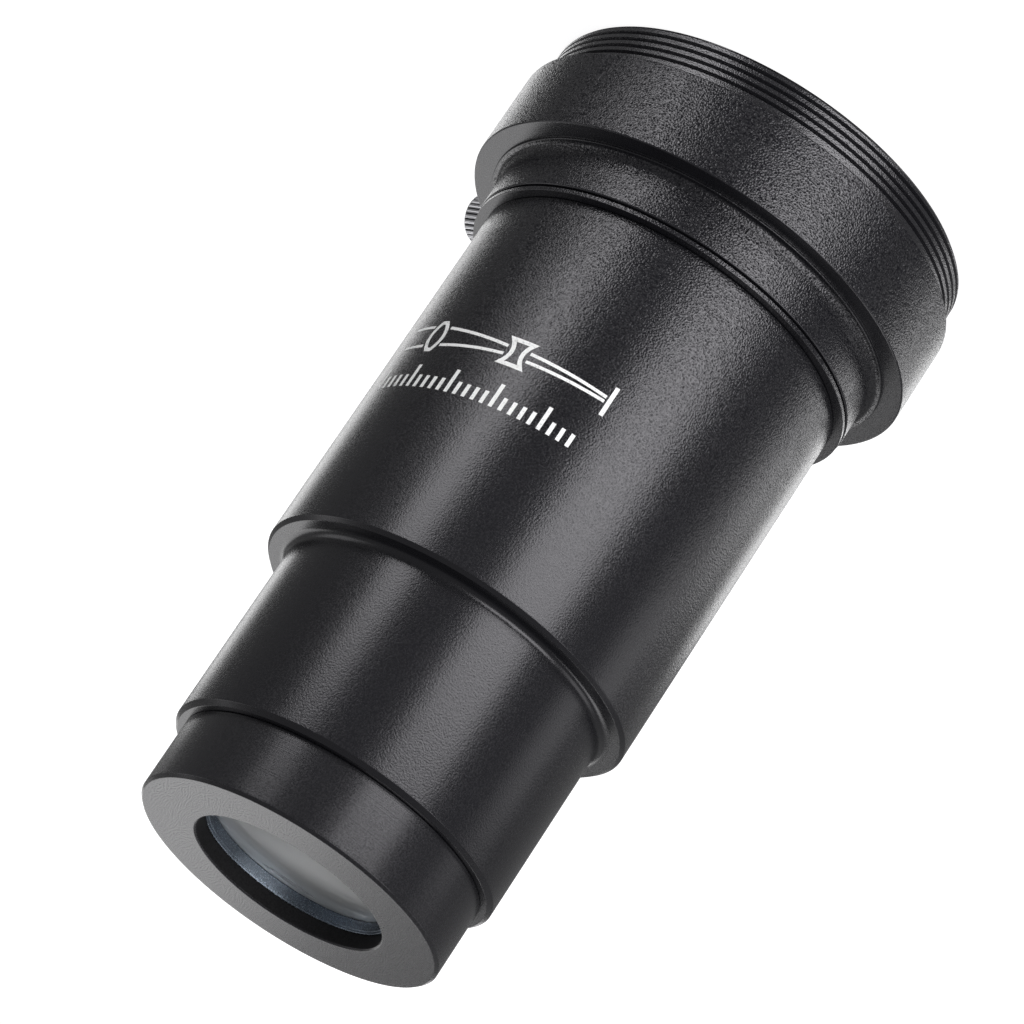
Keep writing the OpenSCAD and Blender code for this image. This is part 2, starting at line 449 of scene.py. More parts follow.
def fluted_sleeve_tree() -> GeometryTree:
    """Makes the tree of a straight knurl: rounded ridges side by side round a sleeve, chamfered at both ends.

    Returns:
        The tree.
    """
    floats = ("Radius", "Depth", "Flutes", "Low", "High", "Chamfer")
    group = GeometryTree("FlutedSleeve", floats, ("Columns", "Rows"))
    tree, value = group.tree, group.value
    grid, place, around = group.unit_grid()
    z = add_node(
        tree, RANGE,
        {
            "From Min": -0.5, "From Max": 0.5, "Value": place.outputs["Y"], "To Min": value("Low"),
            "To Max": value("High"),
        },
    )
    flute = add_node(tree, MATH, {"operation": "MULTIPLY", 0: around, 1: value("Flutes")})
    angle = add_node(tree, MATH, {"operation": "MULTIPLY", 0: flute, 1: math.pi})
    wave = add_node(tree, MATH, {"operation": "SINE", 0: angle})
    ridge = add_node(tree, MATH, {"operation": "ABSOLUTE", 0: wave})
    valley = add_node(tree, MATH, {"operation": "SUBTRACT", 0: 1.0, 1: ridge})
    groove = add_node(tree, MATH, {"operation": "MULTIPLY", 0: valley, 1: value("Depth")})
    below = add_node(tree, MATH, {"operation": "SUBTRACT", 0: z, 1: value("Low")})
    above = add_node(tree, MATH, {"operation": "SUBTRACT", 0: value("High"), 1: z})
    nearest = add_node(tree, MATH, {"operation": "MINIMUM", 0: below, 1: above})
    slope = add_node(tree, MATH, {"operation": "SUBTRACT", 0: value("Chamfer"), 1: nearest})
    cut = add_node(tree, MATH, {"operation": "MAXIMUM", 0: groove, 1: slope})
    radius = add_node(tree, MATH, {"operation": "SUBTRACT", 0: value("Radius"), 1: cut})
    group.close_round(grid, around, radius, z)
    return group


def tick_scale_tree() -> GeometryTree:
    """Makes the tree of a rule printed round a barrel: short ticks, with a long one at each fifth.

    Returns:
        The tree.
    """
    floats = ("Radius", "Ink", "Start", "Step", "Width", "Short", "Long", "Base Z")
    group = GeometryTree("TickScale", floats, ("Count",))
    tree, value = group.tree, group.value
    points = add_node(tree, "GeometryNodePoints", {"Count": value("Count")})
    index = add_node(tree, "GeometryNodeInputIndex")
    angle = add_node(tree, MATH, {"operation": "MULTIPLY_ADD", 0: index, 1: value("Step"), 2: value("Start")})
    fifth = add_node(tree, MATH, {"operation": "MODULO", 0: index, 1: 5.0})
    short = add_node(tree, MATH, {"operation": "GREATER_THAN", 0: fifth, 1: 0.5})
    tall = add_node(tree, RANGE, {"Value": short, "To Min": value("Long"), "To Max": value("Short")})
    middle = add_node(tree, MATH, {"operation": "MULTIPLY_ADD", 0: tall, 1: -0.5, 2: value("Base Z")})
    spot = group.put_round(angle, value("Radius"), middle)
    placed = add_node(tree, "GeometryNodeSetPosition", {"Geometry": points, "Position": spot})
    facing = add_node(tree, "ShaderNodeCombineXYZ", {"Z": angle})
    turned = add_node(tree, "FunctionNodeEulerToRotation", {0: facing})
    size = add_node(tree, "ShaderNodeCombineXYZ", {"X": value("Ink"), "Y": value("Width"), "Z": tall})
    bar = add_node(tree, "GeometryNodeMeshCube", {"Size": (1.0, 1.0, 1.0)})
    ticks = add_node(
        tree, "GeometryNodeInstanceOnPoints",
        {"Points": placed, "Instance": bar, "Rotation": turned, "Scale": size},
    )
    group.close(ticks)
    return group


# ---------------------------------------------------------------- finishes


def new_material(
    name: str, values: dict[str, object]
) -> tuple[bpy.types.Material, bpy.types.Node, bpy.types.NodeSocket]:
    """Makes a material.

    Args:
        name: Its name.
        values: Values of its shader's inputs.

    Returns:
        The material, its shader and the Object coordinates.
    """
    material = bpy.data.materials.new(name)
    material.use_nodes = True
    shader = material.node_tree.nodes["Principled BSDF"]
    feed(shader, values)
    place = add_node(material.node_tree, "ShaderNodeTexCoord").outputs["Object"]
    return material, shader, place


class Texture(Enum):
    """How a metal surface was made, which sets the pattern in its bump."""

    BLASTED = "blasted"
    TURNED = "turned"


@dataclass(frozen=True)
class AnodisedAluminium:
    """Aluminium, blasted or turned and then anodised black: a dyed oxide skin with a satin sheen.

    The oxide is a clear, hard layer over black dye, so it reflects like a dielectric. Blasting leaves a
    fine pebbled grain, a real bump that breaks each highlight into specks. On top of it the specular level
    is lowered in the pits and raised on the crests: painted shade for the pits' self-shadowing and painted
    sheen on the crests. Grain is the pebbles' size. The blasting is full up to strong_z and fades along Z
    to its weakest at weak_z.
    """

    name: str
    colour: str = "111114"
    lighter: str = "17171b"
    sheen_tint: str = "fcfaff"
    roughness: float = 0.27
    spread: float = 0.08
    specular: float = 0.5
    grain: float = 0.16
    depth: float = 0.05
    pit_shade_swing: float = 1.8
    strong_z: float = 12.0
    weak_z: float = 50.0
    weakest: float = 0.25
    texture: Texture = Texture.BLASTED
    turning: float = 0.0
    cloud: float = 40.0  # size of the dye's faint clouds, in grains

    def build(self) -> bpy.types.Material:
        """Makes the material and returns it."""
        material, shader, place = new_material(
            self.name, {"Metallic": 0.0, "Specular Tint": linear(self.sheen_tint)}
        )
        tree = material.node_tree
        grain_scale = 1 / (self.grain * MM)
        pebbles = add_node(
            tree, NOISE, {"Scale": grain_scale, "Detail": 0.5, "Roughness": 0.4, "Vector": place}
        )
        height = add_node(tree, "ShaderNodeSeparateXYZ", {0: place}).outputs["Z"]
        fade = {"From Min": self.strong_z * MM, "From Max": self.weak_z * MM, "To Max": self.weakest}
        blasting = add_node(tree, RANGE, {"To Min": 1.0, **fade, "Value": height})
        # painted shade in the grain's pits and painted sheen on its crests, through the specular level
        reach = {"To Min": -0.5 * self.pit_shade_swing, "To Max": 0.5 * self.pit_shade_swing}
        crests = add_node(tree, RANGE, {**reach, "Value": pebbles})
        lift = {"operation": "MULTIPLY_ADD", "use_clamp": True, 2: self.specular}
        specular_with_pit_shade = add_node(tree, MATH, {**lift, 0: crests, 1: blasting})
        clouds = add_node(tree, NOISE, {"Scale": grain_scale / self.cloud, "Detail": 3.0, "Vector": place})
        dyes = {"data_type": "RGBA", 6: linear(self.colour), 7: linear(self.lighter)}
        tint = add_node(tree, "ShaderNodeMix", {**dyes, 0: clouds}).outputs[2]
        low, high = self.roughness - self.spread / 2, self.roughness + self.spread / 2
        sheen = add_node(
            tree, RANGE, {"From Min": 0.3, "From Max": 0.7, "To Min": low, "To Max": high, "Value": pebbles}
        )
        bump = add_node(
            tree, "ShaderNodeBump", {"Distance": self.depth * MM, "Height": pebbles, "Strength": blasting}
        )
        if self.texture is Texture.TURNED:
            bump = self.add_turning(tree, place, bump)
        feed(shader, {"Specular IOR Level": specular_with_pit_shade, "Base Color": tint, "Roughness": sheen, "Normal": bump})
        return material

    def add_turning(
        self, tree: bpy.types.NodeTree, place: bpy.types.NodeSocket, bump: bpy.types.Node
    ) -> bpy.types.Node:
        """Adds the fine rings that a lathe tool leaves.

        Args:
            tree: The material's tree.
            place: The Object coordinates.
            bump: The bump that the rings go on top of.

        Returns:
            The bump node that holds both.
        """
        split = add_node(tree, "ShaderNodeSeparateXYZ", {0: place}).outputs
        flat = add_node(tree, "ShaderNodeCombineXYZ", {"X": split["X"], "Y": split["Y"]})
        radius = add_node(tree, "ShaderNodeVectorMath", {"operation": "LENGTH", 0: flat}).outputs["Value"]
        along = add_node(tree, MATH, {"operation": "ADD", 0: radius, 1: split["Z"]})
        fine = {"noise_dimensions": "1D", "Scale": 1 / (self.turning * MM), "Detail": 1.0}
        rings = add_node(tree, NOISE, {**fine, "W": along})
        shallow = {"Strength": 1.0, "Distance": self.depth * MM * 0.5}
        return add_node(tree, "ShaderNodeBump", {**shallow, "Height": rings, "Normal": bump})


@dataclass(frozen=True)
class BareMetal:
    """Plated or bare turned metal: bright where it faces a light, and with painted shade in a knurl's
    grooves.

    A knurl along X takes two more sizes, the radii where the painted groove shade is full and where its
    crests are free of it.
    """

    name: str
    colour: str
    roughness: float = 0.3
    grain: float = 0.12
    depth: float = 0.006
    axis_z: float = 0.0
    groove_r: float = 0.0
    crest_r: float = 0.0
    # colour of the painted shade in a knurl's grooves and on everything nearer the axis, the shank too
    groove_shade: str = "0c0c0d"
    dullest: float = 0.55  # brightness of the dullest specks, as a share of the colour

    def build(self) -> bpy.types.Material:
        """Makes the material and returns it."""
        material, shader, place = new_material(self.name, {"Metallic": 1.0})
        tree = material.node_tree
        coarse = {"Scale": 1 / (self.grain * MM), "Detail": 3.0, "Roughness": 0.7}
        specks = add_node(tree, NOISE, {**coarse, "Vector": place})
        base = linear(self.colour)
        dark = tuple(self.dullest * c for c in base[:3]) + (1.0,)
        tint = add_node(tree, "ShaderNodeMix", {"data_type": "RGBA", 6: dark, 7: base, 0: specks})
        if self.crest_r:
            # painted shade in the knurl's grooves and on the shank
            tint = self.darken_grooves(tree, place, tint)
        sheen = add_node(
            tree, RANGE, {"To Min": self.roughness * 0.7, "To Max": self.roughness * 1.3, "Value": specks}
        )
        bump = add_node(
            tree, "ShaderNodeBump", {"Strength": 1.0, "Distance": self.depth * MM, "Height": specks}
        )
        feed(shader, {"Base Color": tint.outputs[2], "Roughness": sheen, "Normal": bump})
        return material

    def darken_grooves(
        self, tree: bpy.types.NodeTree, place: bpy.types.NodeSocket, tint: bpy.types.Node
    ) -> bpy.types.Node:
        """Adds painted shade between a knurl's crests: full at the groove radius and everywhere nearer the
        axis, so the shank is painted dark too, and none on the crests. Faces that look along X keep the
        metal's colour.

        Args:
            tree: The material's tree.
            place: The Object coordinates.
            tint: The metal's colour without the painted shade.

        Returns:
            The node with the finished colour.
        """
        shift = {"operation": "MULTIPLY_ADD", 1: (0.0, 1.0, 1.0), 2: (0.0, 0.0, -self.axis_z * MM)}
        across = add_node(tree, "ShaderNodeVectorMath", {**shift, 0: place})
        radius = add_node(tree, "ShaderNodeVectorMath", {"operation": "LENGTH", 0: across}).outputs["Value"]
        shade_free_from = {"From Min": self.groove_r * MM, "From Max": self.crest_r * MM}
        free_of_groove_shade = add_node(tree, RANGE, {**shade_free_from, "Value": radius})
        looks = add_node(tree, "ShaderNodeTexCoord").outputs["Normal"]
        split = add_node(tree, "ShaderNodeSeparateXYZ", {0: looks})
        tilt = add_node(tree, MATH, {"operation": "ABSOLUTE", 0: split.outputs["X"]})
        end = add_node(tree, MATH, {"operation": "GREATER_THAN", 0: tilt, 1: 0.9})
        bare = add_node(tree, MATH, {"operation": "MAXIMUM", 0: free_of_groove_shade, 1: end})
        # painted shade mixed in wherever the metal is not at a crest or an end face
        colours = {"data_type": "RGBA", 6: linear(self.groove_shade), 7: tint.outputs[2]}
        return add_node(tree, "ShaderNodeMix", {**colours, 0: bare})


@dataclass(frozen=True)
class OpticalGlass:
    """Crown glass, polished and coated: clear, with mirror-like faces under a faint film of haze.

    The haze is what makes the glass read as a soft grey sheet when it is seen at a low angle.
    """

    name: str = "optical_glass"
    ior: float = 1.52
    clearness: float = 0.88
    film: float = 1.0
    film_roughness: float = 0.3
    film_ior: float = 1.95
    dust: float = 0.5
    tint: str = "f4f7fa"

    def build(self) -> bpy.types.Material:
        """Makes the material and returns it."""
        values = {
            "Base Color": linear(self.tint),
            "IOR": self.ior,
            "Transmission Weight": self.clearness,
            "Coat Weight": self.film,
            "Coat Roughness": self.film_roughness,
            "Coat IOR": self.film_ior,
        }
        material, shader, place = new_material(self.name, values)
        tree = material.node_tree
        dust = add_node(tree, NOISE, {"Scale": 1 / (self.dust * MM), "Detail": 4.0, "Vector": place})
        thin = {"From Min": 0.5, "From Max": 0.8, "To Min": 0.012, "To Max": 0.05}
        feed(shader, {"Roughness": add_node(tree, RANGE, {**thin, "Value": dust})})
        return material


@dataclass(frozen=True)
class PrintedInk:
    """White pad-printing ink: a thin, slightly uneven film with a soft sheen."""

    name: str = "white_ink"
    colour: str = "f2f2f2"
    thin: str = "c9c9cc"
    roughness: float = 0.55
    mottle: float = 0.2
    depth: float = 0.004

    def build(self) -> bpy.types.Material:
        """Makes the material and returns it."""
        material, shader, place = new_material(self.name, {"Roughness": self.roughness})
        tree = material.node_tree
        film = add_node(tree, NOISE, {"Scale": 1 / (self.mottle * MM), "Detail": 3.0, "Vector": place})
        cover = add_node(tree, RANGE, {"From Min": 0.3, "From Max": 0.45, "Value": film})
        inks = {"data_type": "RGBA", 6: linear(self.thin), 7: linear(self.colour)}
        tint = add_node(tree, "ShaderNodeMix", {**inks, 0: cover})
        bump = add_node(
            tree, "ShaderNodeBump", {"Strength": 1.0, "Distance": self.depth * MM, "Height": film}
        )
        feed(shader, {"Base Color": tint.outputs[2], "Normal": bump})
        return material


@dataclass
class Finishes:
    """All the finishes of the object, made once."""

    body: bpy.types.Material = field(init=False)
    cell: bpy.types.Material = field(init=False)
    turned: bpy.types.Material = field(init=False)
    thread: bpy.types.Material = field(init=False)
    flat: bpy.types.Material = field(init=False)
    ring: bpy.types.Material = field(init=False)
    screw: bpy.types.Material = field(init=False)
    glass: bpy.types.Material = field(init=False)
    rear_glass: bpy.types.Material = field(init=False)
    ink: bpy.types.Material = field(init=False)

    def __post_init__(self) -> None:
        """Builds each material."""
        self.body = AnodisedAluminium("anodised_blasted").build()
        self.cell = AnodisedAluminium(
            "anodised_fine", specular=0.62, grain=0.16, depth=0.006, texture=Texture.TURNED, turning=0.12
        ).build()
        self.turned = AnodisedAluminium(
            "anodised_turned",
            specular=0.52,
            grain=0.1,
            depth=0.004,
            pit_shade_swing=0.3,
            texture=Texture.TURNED,
            turning=0.1,
        ).build()
        self.thread = AnodisedAluminium(
            "anodised_thread", roughness=0.26, specular=0.85, grain=0.13, depth=0.025, pit_shade_swing=0.9
        ).build()
        self.flat = AnodisedAluminium(
            "flat_black", colour="0c0c0d", lighter="121213", roughness=0.75, specular=0.25, depth=0.015
        ).build()
        self.ring = BareMetal("bare_ring_metal", "8f99a5", roughness=0.26, grain=0.13, depth=0.025).build()
        self.screw = BareMetal(
            "bright_nickel", "e6e6ea", roughness=0.3, grain=0.2, axis_z=8.4, groove_r=2.27, crest_r=2.4
        ).build()
        self.glass = OpticalGlass().build()
        self.rear_glass = OpticalGlass("optical_glass_rear", film=0.0).build()
        self.ink = PrintedInk().build()


# ---------------------------------------------------------------- sub-assemblies


@dataclass
class SubAssembly:
    """Something that makes pieces, each on a body and in place of a CAD node."""

    finishes: Finishes
    pieces: list[bpy.types.Object] = field(default_factory=list, init=False)

    def add(self, piece: bpy.types.Object, body: str, node: str | None, slot: str | None) -> None:
        """Hangs a finished piece on its body and reports it.

        Args:
            piece: The finished object.
            body: The body that it rides on.
            node: The CAD node that it stands for, if any.
            slot: The record's material slot, if it has one. Not used.
        """
        smooth(piece)
        if node:
            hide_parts(node)
        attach(piece, body)
        self.pieces.append(piece)
        size = [round(d / MM, 2) for d in piece.dimensions]
        log.info("%s: %d faces, %s mm, on %s", piece.name, len(piece.data.polygons), size, body)


@dataclass
class Barrel(SubAssembly):
    """Nosepiece and body in one piece, with the rings inside it."""

    nose_r: float = 15.85
    step_z: float = 53.95
    nose_len: float = 18.33
    body_r: float = 18.0
    body_z: float = 17.7
    step_fillet: float = 0.8
    nose_chamfer: float = 0.42
    body_chamfer: float = 0.34
    bore_r: float = 16.2
    nose_bore_r: float = 13.4
    nose_wall_z: float = 50.0
    spigot_bore_r: float = 17.05
    socket_top: float = 26.03
    cell_bore_r: float = 14.25
    cell_bore_len: float = 5.8
    edge: float = 0.07

    def build(self) -> None:
        """Makes the barrel, the eyepiece stop and the baffle."""
        e = self.edge
        nose_z = self.step_z + self.nose_len
        cell_seat = nose_z - self.cell_bore_len
        outline = rounded(
            [
                Corner(self.spigot_bore_r, self.body_z, e),
                Corner(self.body_r, self.body_z, e),
                Corner(self.body_r, self.step_z - self.body_chamfer, e),
                Corner(self.body_r - self.body_chamfer, self.step_z, e),
                Corner(self.nose_r, self.step_z, self.step_fillet, 12),
                Corner(self.nose_r, nose_z - self.nose_chamfer, e),
                Corner(self.nose_r - self.nose_chamfer, nose_z, e),
                Corner(self.cell_bore_r, nose_z, e),
                Corner(self.cell_bore_r, cell_seat),
                Corner(self.nose_bore_r, cell_seat, e),
                Corner(self.nose_bore_r, self.nose_wall_z, e),
                Corner(self.bore_r, self.nose_wall_z),
                Corner(self.bore_r, self.socket_top, e),
                Corner(self.spigot_bore_r, self.socket_top),
            ]
        )
        shell = spin("barrel_shell", outline)
        dress(shell, self.finishes.body, self.finishes.turned, self.finishes.flat)
        self.add(shell, "barrel", "main_barrel", "anodised_black")
        self.inner_ring("eyepiece_stop", "eyepiece_stop_ring", low=26.06, high=27.56, hole_r=13.2)
        self.inner_ring("tube_baffle", "light_baffle", low=40.0, high=41.0, hole_r=11.5)

    def inner_ring(self, name: str, node: str, low: float, high: float, hole_r: float) -> None:
        """Makes a blackened ring inside the body, with a chamfered hole.

        Args:
            name: The piece's name.
            node: The CAD node that it stands for.
            low: Height of its lower face.
            high: Height of its upper face.
            hole_r: Radius of its hole.
        """
        outer, bevel = 16.15, 0.35
        outline = rounded(
            [
                Corner(outer, low, 0.08),
                Corner(outer, high, 0.08),
                Corner(hole_r + bevel, high, 0.05),
                Corner(hole_r, high - bevel, 0.05),
                Corner(hole_r, low + bevel, 0.05),
                Corner(hole_r + bevel, low, 0.05),
            ]
        )
        ring = spin(name, outline)
        dress(ring, self.finishes.flat)
        self.add(ring, "barrel", node, "flat_black")


@dataclass
class Holder(SubAssembly):
    """Eyepiece holder: neck, collar and socket, with the ring above it."""

    socket_r: float = 15.9
    socket_depth: float = 26.0
    collar_r: float = 22.0
    collar_z: float = 4.39
    shoulder_z: float = 12.46
    ledge_r: float = 20.03
    ledge_h: float = 0.26
    neck_r: float = 19.05
    neck_z: float = 17.05
    edge_break: float = 0.15
    spigot_r: float = 17.0
    ring_seat_r: float = 19.55
    ring_seat_z: float = 6.62
    screw_z: float = 8.4
    screw_hole_r: float = 1.5
    countersink: float = 0.3

    def build(self) -> None:
        """Makes the holder with its tapped hole, and the joint ring."""
        b = self.edge_break
        flare_z = self.shoulder_z + self.ledge_h
        outline = rounded(
            [
                Corner(self.socket_r, 0.0, 0.12),
                Corner(self.spigot_r, 0.0, 0.12),
                Corner(self.spigot_r, self.ring_seat_z),
                Corner(self.ring_seat_r, self.ring_seat_z),
                Corner(self.ring_seat_r, self.collar_z, 0.07),
                Corner(self.collar_r, self.collar_z, b, 8),
                Corner(self.collar_r, self.shoulder_z, b, 8),
                Corner(self.ledge_r, self.shoulder_z, 0.03),
                Corner(self.ledge_r, flare_z, 0.1, 8),
                Corner(self.neck_r + 0.45, flare_z, 0.65, 10),
                Corner(self.neck_r, flare_z + 0.8, 1.7, 10),
                Corner(self.neck_r, self.neck_z, b, 8),
                Corner(self.spigot_r, self.neck_z),
                Corner(self.spigot_r, self.socket_depth, 0.12),
                Corner(self.socket_r, self.socket_depth, 0.12),
            ]
        )
        body = spin("holder_body", outline)
        self.drill(body)
        dress(body, self.finishes.body, self.finishes.turned, self.finishes.flat)
        for face in body.data.polygons:  # the flare is blasted like the neck
            r, z = face.center.xy.length / MM, face.center.z / MM
            if self.neck_r < r < self.ledge_r - 0.12 and flare_z - 0.01 < z < self.neck_z - 2 * b:
                face.material_index = 0
        self.add(body, "barrel", "eyepiece_holder", "anodised_black")
        self.joint_ring()

    def drill(self, body: bpy.types.Object) -> None:
        """Cuts the thumbscrew's hole and its countersink through the collar."""
        face = self.collar_r
        wide = self.screw_hole_r + self.countersink
        outline = [
            (0.0, self.socket_r - 3),
            (self.screw_hole_r, self.socket_r - 3),
            (self.screw_hole_r, face - self.countersink - 0.06),
            (wide + 0.6, face + 0.54),
            (wide + 0.6, face + 2),
            (0.0, face + 2),
        ]
        cutter = spin("screw_hole_cutter", outline, segments=96)
        cutter.data.transform(laid_along_x(self.screw_z))
        cut = body.modifiers.new("hole", "BOOLEAN")
        cut.operation = "DIFFERENCE"
        cut.solver = "EXACT"
        cut.object = cutter
        bake(body)
        bpy.data.objects.remove(cutter)

    def joint_ring(self) -> None:
        """Makes the grooved ring between the neck and the body, with its thin lip."""
        e = 0.05
        bore_r, groove_r, lip_r = 17.05, 18.35, 18.95
        low, lip_z, high = 17.08, 17.24, 17.67
        outline = rounded(
            [
                Corner(bore_r, low, e),
                Corner(groove_r, low),
                Corner(groove_r, lip_z, e),
                Corner(lip_r, lip_z, e),
                Corner(lip_r, high, e),
                Corner(bore_r, high, e),
            ]
        )
        ring = spin("joint_band", outline)
        dress(ring, self.finishes.body, self.finishes.turned, self.finishes.flat)
        self.add(ring, "barrel", "joint_ring", "anodised_black")


@dataclass
class ThreadSpec:
    """Sizes of one screw thread, in millimetres, with heights along its own axis."""

    radius: float
    depth: float
    pitch: float
    low: float
    high: float
    run_out: float
    last: float
    fade: float = 0.3
    root: float = 0.0625
    crest: float = 0.413
    phase: float = 0.0625
    columns: int = SEGMENTS
    rows_per_turn: int = 16

    def inputs(self) -> dict[str, object]:
        """The values of the thread tree's inputs, in metres."""
        turns = math.ceil((self.high - self.low) / self.pitch) + 2
        return {
            "Radius": self.radius * MM,
            "Depth": self.depth * MM,
            "Pitch": self.pitch * MM,
            "Low": self.low * MM,
            "High": self.high * MM,
            "Lead In": self.depth * MM,
            "Run Out": self.run_out * MM,
            "Fade": (self.last - self.fade) * MM,
            "Last": self.last * MM,
            "Root": self.root,
            "Crest": self.crest,
            "Phase": self.phase,
            "Turns": float(turns),
            "Columns": self.columns + 1,
            "Rows": turns * self.rows_per_turn + 1,
        }


@dataclass
class CameraThread(SubAssembly):
    """Ring with the outside thread that a camera adapter screws onto."""

    tree: GeometryTree
    spec: ThreadSpec = field(
        default_factory=lambda: ThreadSpec(20.95, 0.36, 0.75, 0.0, 4.36, 3.95, 3.6, root=0.0, crest=0.25)
    )
    bore_r: float = 17.05
    spigot_r: float = 19.5
    spigot_top: float = 6.59

    def build(self) -> None:
        """Makes the ring's plain part, and adds its thread."""
        root = self.spec.radius - self.spec.depth
        outline = rounded(
            [
                Corner(root, self.spec.high),
                Corner(self.spigot_r, self.spec.high),
                Corner(self.spigot_r, self.spigot_top, 0.1),
                Corner(self.bore_r, self.spigot_top, 0.1),
                Corner(self.bore_r, self.spec.low, 0.25),
                Corner(root, self.spec.low),
            ],
            closed=False,
        )
        ring = spin("camera_thread", outline, closed=False)
        self.tree.apply(ring, self.spec.inputs(), self.finishes.thread)
        self.add(ring, "barrel", "camera_thread_ring", "anodised_thread")


@dataclass
class LensCell(SubAssembly):
    """The screw-in housing with its retaining ring, two lenses and spacer."""

    tree: GeometryTree
    cell_r: float = 14.8
    face_z: float = 79.2
    flange_z: float = 72.31
    chamfer: float = 0.28
    bore_r: float = 9.25
    bore_chamfer: float = 0.14
    seat_r: float = 8.2
    seat_t: float = 1.4
    back_r: float = 12.4
    spec: ThreadSpec = field(default_factory=lambda: ThreadSpec(14.2, 0.33, 0.6, 67.58, 72.31, 71.75, 71.7))
    recess: float = 2.75
    retainer_h: float = 1.25
    retainer_wall: float = 0.25
    front_edge: float = 2.9
    rear_edge: float = 2.6
    spacer_t: float = 0.2
    front_curve: float = 44.0
    middle_curve: float = 32.0
    rear_curve: float = 70.0
    dish_r: float = 8.7
    edge: float = 0.07

    def build(self) -> None:
        """Makes the housing, the ring, the lenses and the spacer."""
        self.housing()
        self.retaining_ring()
        self.lenses()

    @property
    def lens_r(self) -> float:
        """Radius of the lenses."""
        return self.bore_r - 0.05

    @property
    def lens_top(self) -> float:
        """Height of the front lens's rim."""
        return self.face_z - self.recess

    @property
    def rear_bottom(self) -> float:
        """Height of the rear lens's back rim."""
        return self.lens_top - self.front_edge - self.spacer_t - self.rear_edge

    def housing(self) -> None:
        """Makes the housing, with its thread."""
        root = self.spec.radius - self.spec.depth
        seat_back = self.rear_bottom - self.seat_t
        e, c, b = self.edge, self.chamfer, self.bore_chamfer
        outline = rounded(
            [
                Corner(root, self.spec.high),
                Corner(self.cell_r, self.flange_z, e),
                Corner(self.cell_r, self.face_z - c, e),
                Corner(self.cell_r - c, self.face_z, e),
                Corner(self.bore_r + b, self.face_z, 0.04),
                Corner(self.bore_r, self.face_z - b, 0.04),
                Corner(self.bore_r, self.rear_bottom),
                Corner(self.seat_r, self.rear_bottom, e),
                Corner(self.seat_r, seat_back, e),
                Corner(self.back_r, seat_back),
                Corner(self.back_r, self.spec.low, e),
                Corner(root, self.spec.low),
            ],
            closed=False,
        )
        housing = spin("cell_housing", outline, closed=False)
        self.tree.apply(housing, self.spec.inputs(), self.finishes.cell)
        dress(housing, self.finishes.cell, self.finishes.cell, self.finishes.flat)
        self.add(housing, "cell_housing", "lens_cell", "anodised_cell")

    def retaining_ring(self) -> None:
        """Makes the thin ring on the lens, with a fine groove under its lip."""
        outer, inner = self.lens_r, self.lens_r - self.retainer_wall
        low, high = self.lens_top, self.lens_top + self.retainer_h
        outline = rounded(
            [
                Corner(outer, low),
                Corner(outer, high, 0.03),
                Corner(inner + 0.02, high, 0.06, 6),
                Corner(inner, high - 0.16, 0.03),
                Corner(inner + 0.06, high - 0.2, 0.03),
                Corner(inner + 0.06, high - 0.26, 0.03),
                Corner(inner, high - 0.3, 0.03),
                Corner(inner, low + 0.1, 0.03),
                Corner(inner + 0.08, low),
            ]
        )
        ring = spin("retaining_ring", outline)
        dress(ring, self.finishes.ring)
        self.add(ring, "cell_housing", "lens_retaining_ring", "ring_metal")

    def lenses(self) -> None:
        """Makes both lenses and the spacer, with ground bevels at the rims."""
        r, bevel = self.lens_r, 0.12
        bottom = self.lens_top - self.front_edge
        front = [
            *dish(self.dish_r, self.front_curve, self.lens_top, up=False)[::-1],
            (r - bevel, self.lens_top),
            (r, self.lens_top - bevel),
            (r, bottom + bevel),
            (r - bevel, bottom),
            *dish(self.seat_r, self.middle_curve, bottom, up=True),
        ]
        top, back = bottom - self.spacer_t, self.rear_bottom
        rear = [
            *dish(self.seat_r, self.middle_curve + self.spacer_t, top, up=True)[::-1],
            (r - bevel, top),
            (r, top - bevel),
            (r, back + bevel),
            (r - bevel, back),
            *dish(self.seat_r, self.rear_curve, back, up=True),
        ]
        spacer = [(r, top), (r, bottom), (self.seat_r + 0.2, bottom), (self.seat_r + 0.2, top)]
        rows = (
            ("front_element", front, False, self.finishes.glass, "front_lens", "coated_glass"),
            ("rear_element", rear, False, self.finishes.rear_glass, "rear_lens", "coated_glass"),
            ("element_spacer", spacer, True, self.finishes.flat, "lens_spacer", "flat_black"),
        )
        for name, outline, closed, material, node, slot in rows:
            piece = spin(name, outline, closed=closed)
            bake(piece)
            dress(piece, material)
            self.add(piece, "cell_optics", node, slot)


